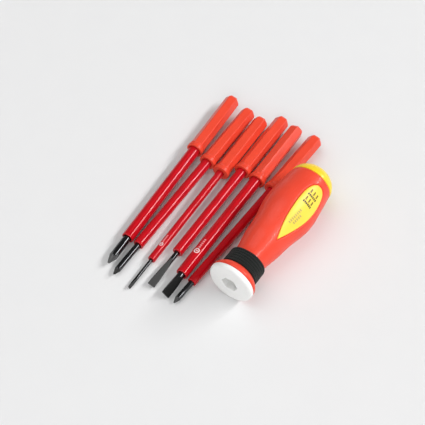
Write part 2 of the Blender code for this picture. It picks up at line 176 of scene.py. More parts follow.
def roll_of(points, low, high, folds):
    """Angle from X of the corners of a cross-section with this many corners, between two places."""
    corner_power = 12
    chosen = points[(points[:, 1] > low) & (points[:, 1] < high)]
    reach = np.hypot(chosen[:, 0], chosen[:, 2])
    angle = np.arctan2(chosen[:, 2], chosen[:, 0])
    weight = (reach / reach.max()) ** corner_power
    return float(np.angle((weight * np.exp(1j * folds * angle)).sum())) / folds


# ---------------------------------------------------------------- outlines and sections

def smooth_step(value, low, high):
    """Rise from 0 at low to 1 at high."""
    share = np.clip((value - low) / (high - low), 0.0, 1.0)
    return share * share * (3.0 - 2.0 * share)


def eased(points, steps=5):
    """A path with its corners rounded; each point is (along, radius, how far the rounding reaches)."""
    longest_share = 0.48
    path = []
    for index, (along, radius, reach) in enumerate(points):
        corner = np.array((along, radius))
        if reach == 0.0 or index in (0, len(points) - 1):
            path.append(corner)
            continue
        before = np.array(points[index - 1][:2]) - corner
        after = np.array(points[index + 1][:2]) - corner
        start = corner + before * min(reach / np.linalg.norm(before), longest_share)
        end = corner + after * min(reach / np.linalg.norm(after), longest_share)
        for share in np.linspace(0.0, 1.0, steps):
            path.append((1 - share) ** 2 * start + 2 * share * (1 - share) * corner
                        + share ** 2 * end)
    return [tuple(point) for point in path]


def through(points, steps):
    """Smooth curve through points, as Catmull-Rom spans."""
    padded = [np.array(point, float) for point in (points[0], *points, points[-1])]
    curve = []
    for p0, p1, p2, p3 in zip(padded, padded[1:], padded[2:], padded[3:]):
        for share in np.linspace(0.0, 1.0, steps, endpoint=False):
            curve.append(0.5 * (2 * p1 + (p2 - p0) * share
                                + (2 * p0 - 5 * p1 + 4 * p2 - p3) * share ** 2
                                + (3 * p1 - p0 - 3 * p2 + p3) * share ** 3))
    curve.append(padded[-1])
    return np.array(curve)


def turn_angles(segments):
    """Evenly spaced angles for one turn."""
    return np.linspace(0.0, FULL_TURN, segments, endpoint=False)


def round_loop(along, radius, angles):
    """Circle across the Y axis; radius may vary with the angle."""
    reach = np.broadcast_to(radius, angles.shape)
    return np.stack([reach * np.cos(angles), np.full_like(angles, along),
                     reach * np.sin(angles)], axis=1)


def polygon_radius(angles, sides, flat_distance, sharpness, roll=0.0):
    """Radius of a polygon whose corners are softly rounded; roll is the angle of one corner."""
    total = np.zeros_like(angles)
    for side in range(sides):
        facing = roll + FULL_TURN * (side + 0.5) / sides
        total += np.maximum(np.cos(angles - facing) / flat_distance, 0.0) ** sharpness
    return total ** (-1.0 / sharpness)


# ---------------------------------------------------------------- meshes

def add_piece(name, points, faces, place, material, body, sharp=32.0):
    """Make one piece from corners in its own millimetres; its material reads them in metres."""
    world = np.array(place)
    placed = points @ world[:3, :3].T + world[:3, 3]
    mesh = bpy.data.meshes.new(name)
    mesh.from_pydata(placed.tolist(), [], faces)
    bm = bmesh.new()
    bm.from_mesh(mesh)
    bmesh.ops.recalc_face_normals(bm, faces=bm.faces)
    bm.to_mesh(mesh)
    bm.free()
    attribute = mesh.attributes.new("local", "FLOAT_VECTOR", "POINT")
    attribute.data.foreach_set("vector", (points * MM).astype(np.float32).ravel())
    mesh.shade_smooth()
    mesh.set_sharp_from_angle(angle=math.radians(sharp))
    mesh.materials.append(material)
    piece = bpy.data.objects.new(name, mesh)
    bpy.context.scene.collection.objects.link(piece)
    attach(piece, body)
    return piece


def lofted(name, loops, place, material, body, ring=False, sharp=32.0):
    """Skin a row of closed loops; a ring joins the last loop to the first."""
    loops = np.asarray(loops, float)
    rows, columns, _ = loops.shape
    faces = []
    for row in range(rows if ring else rows - 1):
        following = (row + 1) % rows
        for column in range(columns):
            after = (column + 1) % columns
            faces.append((row * columns + column, row * columns + after,
                          following * columns + after, following * columns + column))
    if not ring:
        faces.append(tuple(range(columns)))
        faces.append(tuple((rows - 1) * columns + column for column in range(columns)))
    return add_piece(name, loops.reshape(-1, 3), faces, place, material, body, sharp)


# ---------------------------------------------------------------- materials

def node(tree, kind, inputs=None, **settings):
    """Add a shader node; an input that is a socket is linked, any other value is set."""
    made = tree.nodes.new("ShaderNode" + kind)
    for key, value in settings.items():
        setattr(made, key, value)
    for key, value in (inputs or {}).items():
        if isinstance(value, bpy.types.NodeSocket):
            tree.links.new(value, made.inputs[key])
        else:
            made.inputs[key].default_value = value
    return made


def start_material(name):
    """A new material with its node tree and its Principled shader."""
    material = bpy.data.materials.new(name)
    material.use_nodes = True
    return material, material.node_tree, material.node_tree.nodes["Principled BSDF"]


def position(tree, own=True):
    """The piece's own coordinates in metres, or for a CAD node its object coordinates."""
    if own:
        return node(tree, "Attribute", attribute_name="local").outputs["Vector"]
    return node(tree, "TexCoord").outputs["Object"]


def noise(tree, vector, scale, detail=2.0, roughness=0.5, stretch=None):
    """Noise from 0 to 1; stretch scales the coordinates first."""
    if stretch is not None:
        vector = node(tree, "Mapping", {"Vector": vector, "Scale": stretch}).outputs["Vector"]
    return node(tree, "TexNoise", {"Vector": vector, "Scale": scale, "Detail": detail,
                                   "Roughness": roughness}).outputs["Fac"]


def remap(tree, value, from_low, from_high, to_low, to_high):
    """Linear change of range, clamped."""
    return node(tree, "MapRange", {"Value": value, "From Min": from_low, "From Max": from_high,
                                   "To Min": to_low, "To Max": to_high}).outputs["Result"]


def blend_colour(tree, factor, first, second):
    """Mix two colours by a factor."""
    mix = node(tree, "Mix", data_type="RGBA")
    for index, value in ((0, factor), (6, first), (7, second)):
        if isinstance(value, bpy.types.NodeSocket):
            tree.links.new(value, mix.inputs[index])
        elif index == 0:
            mix.inputs[0].default_value = value
        else:
            mix.inputs[index].default_value = (*value, 1.0)
    return mix.outputs[2]


def combine(tree, operation, first, second=0.0):
    """One arithmetic step."""
    return node(tree, "Math", {0: first, 1: second}, operation=operation).outputs["Value"]


def bump(tree, height, distance, strength=1.0, below=None):
    """Bump from a height in the range 0 to 1, over an optional earlier normal."""
    inputs = {"Height": height, "Distance": distance, "Strength": strength}
    if below is not None:
        inputs["Normal"] = below
    return node(tree, "Bump", inputs).outputs["Normal"]


def moulded_plastic(name, colour, shade, roughness, grain=0.00002, grain_scale=5200.0, coat=0.0,
                    scuffs=0.25, own=True):
    """Moulded plastic or rubber: cloudy colour, fine grain, and faint lengthwise scuffs."""
    material, tree, shader = start_material(name)
    place = position(tree, own)
    clouds = noise(tree, place, 55.0, 4.0)
    speckle = noise(tree, place, 900.0, 3.0, 0.7)
    mottle = combine(tree, "MULTIPLY_ADD", speckle, 0.35)
    tree.links.new(remap(tree, clouds, 0.3, 0.7, 0.0, 0.65), mottle.node.inputs[2])
    base = blend_colour(tree, mottle, colour, shade)
    streaks = noise(tree, place, 1.0, 3.0, 0.6, stretch=(900.0, 45.0, 900.0))
    scuff = remap(tree, streaks, 0.60, 0.74, 0.0, scuffs)
    pale = tuple(0.75 * channel + 0.25 for channel in colour)
    base = blend_colour(tree, combine(tree, "MULTIPLY", scuff, 0.35), base, pale)
    tree.links.new(base, shader.inputs["Base Color"])
    rough = combine(tree, "ADD", remap(tree, speckle, 0.3, 0.7, roughness - 0.05,
                                       roughness + 0.05), combine(tree, "MULTIPLY", scuff, 0.3))
    tree.links.new(rough, shader.inputs["Roughness"])
    fine = noise(tree, place, grain_scale, 2.0, 0.6)
    tree.links.new(bump(tree, fine, grain), shader.inputs["Normal"])
    shader.inputs["Specular IOR Level"].default_value = 0.28
    shader.inputs["Coat Weight"].default_value = coat
    shader.inputs["Coat Roughness"].default_value = 0.12
    return material


def glossy_sleeve(name, colour, shade):
    """Smooth insulation with a wet-looking skin and faint draw lines."""
    material, tree, shader = start_material(name)
    place = position(tree)
    clouds = noise(tree, place, 70.0, 3.0)
    lines = noise(tree, place, 1.0, 2.0, 0.5, stretch=(2200.0, 25.0, 2200.0))
    base = blend_colour(tree, remap(tree, clouds, 0.3, 0.7, 0.0, 0.8), colour, shade)
    base = blend_colour(tree, remap(tree, lines, 0.45, 0.75, 0.0, 0.25), base, shade)
    tree.links.new(base, shader.inputs["Base Color"])
    tree.links.new(remap(tree, lines, 0.3, 0.75, 0.08, 0.15), shader.inputs["Roughness"])
    ripple = noise(tree, place, 1.0, 2.0, 0.5, stretch=(500.0, 30.0, 500.0))
    tree.links.new(bump(tree, ripple, 0.000004), shader.inputs["Normal"])
    shader.inputs["Specular IOR Level"].default_value = 0.25
    shader.inputs["Coat Weight"].default_value = 0.35
    shader.inputs["Coat Roughness"].default_value = 0.05
    return material


def tool_steel(name, radius, tip_start, ground, ground_tone_and_shade, roughness, facing=None):
    """Blackened steel; the ground faces of the tip have their own tone, partly painted shade and
    painted reflection set per blade, and fine grinding marks.

    Within the tip's length a face counts as ground if it looks along facing, either way, or with
    no facing given, where the rod has been cut below its round.
    """
    material, tree, shader = start_material(name)
    place = position(tree)
    parts = node(tree, "SeparateXYZ", {"Vector": place})
    if facing is None:
        across = combine(tree, "MULTIPLY", parts.outputs["X"], parts.outputs["X"])
        height = combine(tree, "MULTIPLY", parts.outputs["Z"], parts.outputs["Z"])
        reach = combine(tree, "SQRT", combine(tree, "ADD", across, height))
        cut_away = remap(tree, reach, 0.97 * radius * MM, 0.88 * radius * MM, 0.0, 1.0)
    else:
        normal = node(tree, "TexCoord").outputs["Normal"]
        along_facing = node(tree, "VectorMath", {0: normal, 1: tuple(facing)},
                            operation="DOT_PRODUCT").outputs["Value"]
        cut_away = remap(tree, combine(tree, "ABSOLUTE", along_facing), 0.75, 0.93, 0.0, 1.0)
    near_tip = remap(tree, parts.outputs["Y"], (tip_start + ground * 1.02) * MM,
                     (tip_start + ground * 0.98) * MM, 0.0, 1.0)
    on_tip = combine(tree, "MULTIPLY", cut_away, near_tip)
    marks = noise(tree, place, 1.0, 3.0, 0.7, stretch=(500.0, 6000.0, 500.0))
    hatch = noise(tree, place, 2600.0, 3.0, 0.7)
    oxide = blend_colour(tree, noise(tree, place, 260.0, 4.0), (0.074, 0.075, 0.079),
                         (0.096, 0.097, 0.102))
    # ground steel's tone, scaled per blade with painted shade and painted reflection
    ground_colour_and_shade = blend_colour(tree, marks, (0.6 * ground_tone_and_shade,) * 3, (1.2 * ground_tone_and_shade,) * 3)
    ground_colour_and_shade = blend_colour(tree, remap(tree, hatch, 0.55, 0.75, 0.0, 0.5), ground_colour_and_shade,
                           (0.3 * ground_tone_and_shade,) * 3)
    tree.links.new(blend_colour(tree, on_tip, oxide, ground_colour_and_shade), shader.inputs["Base Color"])
    drawn = noise(tree, place, 1.0, 2.0, 0.6, stretch=(3000.0, 60.0, 3000.0))
    plain_rough = remap(tree, drawn, 0.3, 0.7, 0.08, 0.13)
    ground_rough = remap(tree, marks, 0.3, 0.7, roughness, roughness + 0.12)
    rough = node(tree, "Mix", {0: on_tip, 2: plain_rough, 3: ground_rough}).outputs[0]
    tree.links.new(rough, shader.inputs["Roughness"])
    lines = bump(tree, drawn, 0.0000008)
    tree.links.new(bump(tree, combine(tree, "MULTIPLY", marks, on_tip), 0.00001, 1.0, lines),
                   shader.inputs["Normal"])
    tree.links.new(remap(tree, on_tip, 0.0, 1.0, 1.0, 0.3), shader.inputs["Metallic"])
    shader.inputs["Specular IOR Level"].default_value = 0.12
    return material


def bright_metal(name, colour, roughness, own=False):
    """Bare metal of the small inner pieces."""
    material, tree, shader = start_material(name)
    place = position(tree, own)
    stain = noise(tree, place, 900.0, 4.0)
    dull = tuple(0.7 * channel for channel in colour)
    tree.links.new(blend_colour(tree, stain, colour, dull), shader.inputs["Base Color"])
    tree.links.new(remap(tree, stain, 0.3, 0.7, roughness, roughness + 0.12),
                   shader.inputs["Roughness"])
    shader.inputs["Metallic"].default_value = 1.0
    return material


def elastic_weave(name, colour, thread):
    """Ribbed elastic: fine knitted rows across the ribs, with a soft fuzz."""
    material, tree, shader = start_material(name)
    place = position(tree)
    parts = node(tree, "SeparateXYZ", {"Vector": place})
    angle = combine(tree, "ARCTAN2", parts.outputs["Z"], parts.outputs["X"])
    stitches_per_radian = 230.0
    row_pitch = 0.00062
    rows = combine(tree, "SINE", combine(tree, "MULTIPLY", angle, stitches_per_radian))
    along = combine(tree, "SINE", combine(tree, "MULTIPLY", parts.outputs["Y"],
                                          FULL_TURN / row_pitch))
    weave = remap(tree, combine(tree, "MULTIPLY", rows, along), -1.0, 1.0, 0.0, 1.0)
    fuzz = noise(tree, place, 3500.0, 4.0, 0.8)
    tone = combine(tree, "MULTIPLY", weave, remap(tree, fuzz, 0.3, 0.7, 0.5, 1.0))
    tree.links.new(blend_colour(tree, tone, colour, thread), shader.inputs["Base Color"])
    lower = bump(tree, weave, 0.00012)
    tree.links.new(bump(tree, fuzz, 0.00008, 1.0, lower), shader.inputs["Normal"])
    shader.inputs["Roughness"].default_value = 0.85
    shader.inputs["Specular IOR Level"].default_value = 0.2
    shader.inputs["Sheen Weight"].default_value = 0.08
    shader.inputs["Sheen Roughness"].default_value = 0.5
    return material


def printed_ink(name, colour):
    """Thin printed ink with uneven cover."""
    material, tree, shader = start_material(name)
    place = position(tree)
    cover = noise(tree, place, 1800.0, 4.0, 0.7)
    pale = tuple(min(1.0, channel * 1.5 + 0.02) for channel in colour)
    tree.links.new(blend_colour(tree, remap(tree, cover, 0.45, 0.75, 0.0, 0.6), colour, pale),
                   shader.inputs["Base Color"])
    shader.inputs["Roughness"].default_value = 0.5
    return material


GRIP_RUBBER = moulded_plastic("grip_rubber", (0.87, 0.070, 0.034), (0.79, 0.057, 0.027), 0.42,
                              grain=0.00003, coat=0.12)
SHANK_PLASTIC = moulded_plastic("shank_plastic", (0.88, 0.080, 0.038), (0.77, 0.058, 0.027), 0.34)
CORE_PLASTIC = moulded_plastic("core_plastic", (0.97, 0.70, 0.030), (0.95, 0.64, 0.020), 0.30,
                               grain=0.000008, coat=0.15)
LABEL_PLASTIC = moulded_plastic("label_plastic", (0.96, 0.75, 0.095), (0.94, 0.68, 0.065), 0.34,
                                grain=0.000008)
NOSE_PLASTIC = moulded_plastic("nose_plastic", (0.93, 0.93, 0.92), (0.86, 0.86, 0.84), 0.42,
                               grain=0.000008, scuffs=0.1)
SLEEVE_PLASTIC = glossy_sleeve("sleeve_plastic", (0.60, 0.004, 0.012), (0.44, 0.003, 0.008))
BAND_ELASTIC = elastic_weave("band_elastic", (0.004, 0.005, 0.0045), (0.022, 0.026, 0.024))
DARK_INK = printed_ink("dark_ink", (0.018, 0.012, 0.006))
OLIVE_INK = printed_ink("olive_ink", (0.20, 0.13, 0.008))
GREY_INK = printed_ink("grey_ink", (0.52, 0.40, 0.10))
WHITE_INK = printed_ink("white_ink", (0.92, 0.90, 0.90))
FAINT_INK = printed_ink("faint_ink", (0.86, 0.34, 0.37))


# ---------------------------------------------------------------- handle

HANDLE = handle_place()
BELLY_CURVE = through(BELLY, 8)


def lobes(along, angles):
    """Share by which the three soft lobes raise the radius; the label lies between two of them."""
    rise = smooth_step(along, *LOBE_RISE) * (1.0 - smooth_step(along, *LOBE_FALL))
    return 1.0 - LOBE_HEIGHT * rise * np.cos(3.0 * (angles - LABEL_ROLL))


def belly_radius(along):
    """The grip's round radius behind the band."""
    return np.interp(along, BELLY_CURVE[:, 0], BELLY_CURVE[:, 1])


def label_half_width(share):
    """Half the label's width at a share of its length, from its pointed end."""
    share = np.clip(share, 0.0, 1.0)
    rising = (1.0 - np.clip(1.0 - share / LABEL_WIDEST, 0.0, 1.0) ** 2) ** LABEL_POINT_POWER
    past = np.clip((share - LABEL_WIDEST) / (1.0 - LABEL_WIDEST), 0.0, 1.0)
    falling = (1.0 - past ** LABEL_END_POWER) ** (1.0 / LABEL_END_POWER)
    return LABEL_HALF_WIDTH * np.where(share < LABEL_WIDEST, rising, falling)


def label_outline(count=90):
    """The label's closed outline as (along, across) points."""
    share = 0.5 - 0.5 * np.cos(np.linspace(0.0, math.pi, count))
    along = LABEL_START + LABEL_LENGTH * share
    width = label_half_width(share)
    right = np.stack([along, width], axis=1)
    left = np.stack([along, -width], axis=1)[::-1]
    return np.concatenate([right, left[1:-1]])


def distance_outside_label(along, across):
    """Distance in millimetres from the label's outline, negative inside it."""
    starts = label_outline()
    ends = np.roll(starts, -1, axis=0)
    shape = np.shape(along)
    points = np.stack([np.ravel(along), np.ravel(across)], axis=1)
    nearest = np.full(len(points), 1e9)
    for start, end in zip(starts, ends):
        span = end - start
        share = np.clip(((points - start) @ span) / max(span @ span, 1e-12), 0.0, 1.0)
        nearest = np.minimum(nearest, np.linalg.norm(points - start - share[:, None] * span,
                                                     axis=1))
    inside = np.abs(points[:, 1]) < label_half_width((points[:, 0] - LABEL_START) / LABEL_LENGTH)
    inside &= (points[:, 0] > LABEL_START) & (points[:, 0] < LABEL_START + LABEL_LENGTH)
    return np.where(inside, -nearest, nearest).reshape(shape)


def build_grip():
    """Soft grip: flared flange, neck, lobed belly, and the pocket with a rolled lip for the label."""
    sector = math.radians(36.0)
    columns = 84
    margin = 2.0
    lip_depth = 0.40
    lip_edge = (-0.05, 0.75)
    pocket_depth = 1.1
    pocket_edge = (-0.32, 0.02)
    far_outside = 9.0
    rear_rounding = 0.5
    fine = np.linspace(-sector, sector, columns)
    coarse = np.linspace(sector, FULL_TURN - sector, columns)[1:-1]
    angles = np.concatenate([fine, coarse]) + LABEL_ROLL
    flange = eased([(GRIP_START + along, radius, 0.8) for radius, along in FLANGE]
                   + [(BELLY[0][0], BELLY[0][1], 0.0)])
    label_end = LABEL_START + LABEL_LENGTH
    before = np.linspace(BELLY[0][0], LABEL_START - margin, 22)[1:]
    beside = np.linspace(LABEL_START - margin, label_end + margin, 190)[1:]
    behind = np.linspace(label_end + margin, GRIP_END - rear_rounding, 8)[1:]
    loops = [round_loop(along, radius, angles) for along, radius in flange]
    for along in np.concatenate([before, beside, behind]):
        radius = belly_radius(along) * lobes(along, angles)
        across = radius * np.sin(angles - LABEL_ROLL)
        outside = distance_outside_label(np.full_like(angles, along), across)
        facing = np.cos(angles - LABEL_ROLL) > 0.0
        outside = np.where(facing, outside, far_outside)
        lip = lip_depth * (1.0 - smooth_step(outside, *lip_edge))
        pocket = pocket_depth * (1.0 - smooth_step(outside, *pocket_edge))
        loops.append(round_loop(along, radius - lip - pocket, angles))
    rear = belly_radius(GRIP_END)
    for turn in np.linspace(0.25, 1.0, 4) * math.pi / 2:
        loops.append(round_loop(GRIP_END - rear_rounding + rear_rounding * math.sin(turn),
                                rear - rear_rounding + rear_rounding * math.cos(turn), angles))
    for along, radius in CORE_PATH[::-1]:
        loops.append(round_loop(min(along, GRIP_END), (radius + PIECE_GAP) * lobes(along, angles),
                                angles))
    loops[-1][:, 1] = GRIP_START
    piece = lofted("grip", loops, HANDLE, GRIP_RUBBER, "handle", ring=True, sharp=60.0)
    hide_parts("grip_sleeve")


def label_point(along, across, depth):
    """A point in the label's field, at a depth below the grip's surface."""
    round_radius = belly_radius(along)
    turn = np.arcsin(np.clip(across / round_radius, -1.0, 1.0))
    angles = LABEL_ROLL + turn
    radius = round_radius * lobes(along, angles) - depth
    return np.stack([radius * np.cos(angles), along, radius * np.sin(angles)], axis=-1)


def build_label():
    """The core's raised teardrop pad, with softly rounded edges."""
    inset = 0.42
    point_inset = 1.1
    edge_width = 0.8
    edge_drop = 0.55
    top_depth = 0.12
    bottom_depth = 1.35
    share = 0.5 - 0.5 * np.cos(np.linspace(0.02, math.pi - 0.02, 110))
    columns = np.sin(np.linspace(-math.pi / 2, math.pi / 2, 26))
    loops = []
    for part in share:
        along = LABEL_START + point_inset + (LABEL_LENGTH - point_inset - inset) * part
        half = max(float(label_half_width((along - LABEL_START) / LABEL_LENGTH)) - inset, 0.08)
        across = half * columns
        inward = -distance_outside_label(np.full_like(across, along), across) - inset
        edge = np.clip(inward / edge_width, 0.0, 1.0)
        depth = top_depth + edge_drop * (1.0 - np.sqrt(1.0 - (1.0 - edge) ** 2))
        stations = np.full_like(across, along)
        top = label_point(stations, across, depth)
        bottom = label_point(stations, across, np.full_like(across, bottom_depth))
        loops.append(np.concatenate([top, bottom[::-1]]))
    lofted("label_pad", loops, HANDLE, LABEL_PLASTIC, "handle", sharp=60.0)


def label_mark(name, along, across, length, width, ink):
    """One thin printed bar that follows the label's surface."""
    top_depth = 0.07
    bottom_depth = 0.2
    loops = []
    for place in np.linspace(along - length / 2, along + length / 2, 5):
        columns = np.linspace(across - width / 2, across + width / 2, 8)
        stations = np.full_like(columns, place)
        top = label_point(stations, columns, np.full_like(columns, top_depth))
        bottom = label_point(stations, columns, np.full_like(columns, bottom_depth))
        loops.append(np.concatenate([top, bottom[::-1]]))
    lofted(name, loops, HANDLE, ink, "handle")


def build_print():
    """Generic print on the label: groups of bars and dots across it, and two faint rows along it."""
    for group, along in enumerate(PRINT_GROUPS, start=1):
        for bar, across in enumerate(PRINT_BARS, start=1):
            label_mark(f"label_bar_{group}_{bar}", along, across, *BAR_SIZE, OLIVE_INK)
        for dot, across in enumerate(np.linspace(*PRINT_DOTS), start=1):
            label_mark(f"label_dot_{group}_{dot}", along - PRINT_DOT_STEP, across, *DOT_SIZE,
                       DARK_INK)
    for row, (across, first, last) in enumerate(PRINT_ROWS, start=1):
        for tick, along in enumerate(np.arange(first, last, PRINT_TICK_PITCH), start=1):
            label_mark(f"label_tick_{row}_{tick}", along, across, *TICK_SIZE, GREY_INK)


def detent_cutter():
    """A plain rod across the core's lower wall, where the detent sits."""
    angles = turn_angles(48)
    points = np.concatenate([
        np.stack([DETENT_BORE_RADIUS * np.cos(angles),
                  DETENT_ALONG + DETENT_BORE_RADIUS * np.sin(angles),
                  np.full_like(angles, height)], axis=1)
        for height in DETENT_BORE_HEIGHTS])
    count = len(angles)
    faces = [tuple(range(count)), tuple(range(2 * count - 1, count - 1, -1))]
    for column in range(count):
        after = (column + 1) % count
        faces.append((after, column, count + column, count + after))
    world = np.array(HANDLE)
    mesh = bpy.data.meshes.new("detent_cutter")
    mesh.from_pydata((points @ world[:3, :3].T + world[:3, 3]).tolist(), [], faces)
    cutter = bpy.data.objects.new("detent_cutter", mesh)
    bpy.context.scene.collection.objects.link(cutter)
    return cutter


def cut_detent_bore(piece, sharp):
    """Open the core's lower wall for the ball, its spring and the plug."""
    cutter = detent_cutter()
    boolean = piece.modifiers.new("detent_bore", "BOOLEAN")
    boolean.operation = "DIFFERENCE"
    boolean.solver = "EXACT"
    boolean.object = cutter
    bpy.context.view_layer.update()
    evaluated = piece.evaluated_get(bpy.context.evaluated_depsgraph_get())
    mesh = bpy.data.meshes.new_from_object(evaluated)
    piece.modifiers.clear()
    piece.data = mesh
    bpy.data.objects.remove(cutter)
    corners = np.empty(len(mesh.vertices) * 3)
    mesh.vertices.foreach_get("co", corners)
    inverse = np.array(HANDLE.inverted())
    own = (corners.reshape(-1, 3) @ inverse[:3, :3].T + inverse[:3, 3]) * MM
    mesh.attributes["local"].data.foreach_set("vector", own.astype(np.float32).ravel())
    mesh.set_sharp_from_angle(angle=math.radians(sharp))


def build_core():
    """The hard core from the nose to the dome of the butt, bored for the socket and the detent."""
    tip_radius = 0.05
    edge = 0.35
    sharp = 40.0
    angles = turn_angles(128)
    loops = [round_loop(along, radius * lobes(along, angles), angles)
             for along, radius in CORE_PATH]
    shoulder = GRIP_END + PIECE_GAP
    loops.append(round_loop(shoulder, CORE_PATH[-1][1], angles))
    depth = HANDLE_LENGTH - shoulder
    loops.append(round_loop(shoulder, BUTT_RADIUS - edge, angles))
    for turn in np.linspace(0.0, math.pi / 2, 30)[:-1]:
        lift = max(math.sin(turn), edge / depth * 0.9)
        loops.append(round_loop(shoulder + depth * lift, BUTT_RADIUS * math.cos(turn), angles))
    loops.append(round_loop(HANDLE_LENGTH, tip_radius, angles))
    inner = [round_loop(CORE_PATH[0][0], CORE_BORE_RADIUS, angles),
             round_loop(CORE_BORE_END, CORE_BORE_RADIUS, angles),
             round_loop(CORE_BORE_END, tip_radius, angles)]
    piece = lofted("core", inner[::-1] + loops, HANDLE, CORE_PLASTIC, "handle", sharp=sharp)
    cut_detent_bore(piece, sharp)
    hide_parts("handle_core")


def build_nose():
    """White front disc: domed rim and the chamfered hexagonal mouth, flats above and below."""
    mouth_radius = 8.0
    flat_radius = 13.0
    shoulder_radius = 16.0
    shoulder_drop = 0.45
    rim_drop = 1.6
    corner_sharpness = 60.0
    chamfer = 0.45
    angles = turn_angles(144)
    hexagon = polygon_radius(angles, 6, SOCKET_FLATS / 2, corner_sharpness)
    loops = [round_loop(SPIGOT_END, SPIGOT_RADIUS, angles), round_loop(SPIGOT_END, hexagon, angles),
             round_loop(NOSE_FRONT + chamfer, hexagon, angles)]
    for share in (0.5, 1.0):
        loops.append(round_loop(NOSE_FRONT + chamfer * (1 - share), hexagon + chamfer * share,
                                angles))
    face = eased([
        (NOSE_FRONT, mouth_radius, 0.0), (NOSE_FRONT, flat_radius, 2.0),
        (NOSE_FRONT + shoulder_drop, shoulder_radius, 0.8),
        (NOSE_FRONT + rim_drop, NOSE_RADIUS, 0.9), (NOSE_BACK, NOSE_RADIUS, 0.3),
        (NOSE_BACK, SPIGOT_RADIUS, 0.0),
    ], 6)
    loops += [round_loop(along, radius, angles) for along, radius in face]
    piece = lofted("nose", loops, HANDLE, NOSE_PLASTIC, "handle", ring=True)
    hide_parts("nose_disc")


def build_band():
    """Elastic band: rounded ribs that thin towards its edges, a little uneven around the neck."""
    angles = turn_angles(200)
    ribs = 6
    steps = 9
    rib_height = 0.42
    edge_drop = 0.35
    edge_width = 0.5
    slack = 0.16
    most_drift = 0.2
    width = BAND_END - BAND_START
    outer = []
    for index in range(ribs * steps + 1):
        share = index / (ribs * steps)
        rib = abs(math.sin(math.pi * share * ribs))
        edge = min(share, 1.0 - share) * width
        height = BAND_OUTER - rib_height + rib_height * rib ** 0.6
        height -= edge_drop * max(0.0, 1.0 - edge / edge_width) ** 2
        outer.append((BAND_START + width * share, height))
    loops = []
    for along, radius in outer:
        drift = 0.22 * np.sin(2.0 * angles + 0.7) * math.sin(along * 0.35)
        swell = 0.14 * np.sin(3.0 * angles + 0.4) + 0.08 * np.sin(7.0 * angles + along * 0.3)
        loop = round_loop(along, radius - slack + swell, angles)
        loop[:, 1] += np.clip(drift, -most_drift, most_drift)
        loops.append(loop)
    loops.append(round_loop(BAND_END - 0.1, BAND_INNER, angles))
    loops.append(round_loop(BAND_START + 0.1, BAND_INNER, angles))
    piece = lofted("elastic_band", loops, HANDLE, BAND_ELASTIC, "handle", ring=True,
                   sharp=70.0)
    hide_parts("neck_band")


def build_spring():
    """Coil spring behind the detent ball."""
    points = local_points("detent_spring", HANDLE)
    reach = np.hypot(points[:, 0], points[:, 1] - DETENT_ALONG).max() - SPRING_WIRE_RADIUS
    top = points[:, 2].max()
    bottom = points[:, 2].min()
    around_wire = turn_angles(14)
    loops = []
    for share in np.linspace(0.0, 1.0, SPRING_TURNS * 30 + 1):
        angle = SPRING_TURNS * FULL_TURN * share
        height = top - SPRING_WIRE_RADIUS + (bottom - top + 2 * SPRING_WIRE_RADIUS) * share
        outward = reach + SPRING_WIRE_RADIUS * np.cos(around_wire)
        loops.append(np.stack([outward * math.cos(angle), DETENT_ALONG + outward * math.sin(angle),
                               height + SPRING_WIRE_RADIUS * np.sin(around_wire)], axis=1))
    steel = bright_metal("spring_steel", (0.62, 0.62, 0.63), 0.22, own=True)
    piece = lofted("coil_spring", loops, HANDLE, steel, "handle", sharp=50.0)
    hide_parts("detent_spring")
    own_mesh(piece)


# ---------------------------------------------------------------- blades

def cross_tip_loops(radius, tip, angles, roll):
    """Crosshead point: a slim cone with four flutes that run out up the rod."""
    point = CROSS_POINT * radius
    cone = (radius - point) / math.tan(CROSS_HALF_ANGLE)
    fluted = CROSS_FLUTE_LENGTH * radius
    nose_length = 0.25 * radius
    nose_drop = 0.10 * radius
    web_at_tip = 0.17
    web_rise = 0.55
    web_run_out = 0.32
    blend_power = 14.0
    quarter = math.pi / 4
    from_groove = np.abs(((angles - roll) % (math.pi / 2)) - quarter)
    spread = np.maximum(np.sin(quarter - from_groove), 1e-4)
    loops = []
    for left in np.concatenate([np.linspace(fluted, 0.6, 40), np.linspace(0.5, 0.0, 8)]):
        full = np.minimum(radius, point + (radius - point) * left / cone)
        full = full - nose_drop * max(0.0, 1.0 - left / nose_length) ** 2
        share = left / fluted
        web = radius * (web_at_tip + web_rise * share + web_run_out * share ** 4)
        groove = np.minimum(web, full) * math.sin(quarter) / spread
        reach = (full ** -blend_power + groove ** -blend_power) ** (-1.0 / blend_power)
        loops.append(round_loop(tip + left, np.minimum(reach, full), angles))
    return loops


def flat_tip_loops(radius, tip, ground, half_width, half_edge, angles, roll):
    """Slotted tip: the rod is ground away above and below and flares to the tip's width."""
    flare_end = 0.92
    square_by = 0.35
    thinning_power = 0.8
    round_power = 2.0
    end_power = 9.0
    loops = []
    turned = angles - roll
    cosine = np.cos(turned)
    sine = np.sin(turned)
    for share in np.linspace(0.0, 1.0, 42):
        width = radius + (half_width - radius) * smooth_step(share, 0.0, flare_end)
        thickness = radius + (half_edge - radius) * share ** thinning_power
        across = width * cosine
        height = np.clip(max(radius, width) * sine, -thickness, thickness)
        power = round_power + (end_power - round_power) * min(share * 1.5, 1.0)
        square_across = width * np.sign(cosine) * np.abs(cosine) ** (round_power / power)
        square_height = thickness * np.sign(sine) * np.abs(sine) ** (round_power / power)
        mix = smooth_step(share, 0.0, square_by)
        across = across * (1 - mix) + square_across * mix
        height = height * (1 - mix) + square_height * mix
        x = across * math.cos(roll) - height * math.sin(roll)
        z = across * math.sin(roll) + height * math.cos(roll)
        loops.append(np.stack([x, np.full_like(x, tip + ground * (1.0 - share)), z], axis=1))
    return loops


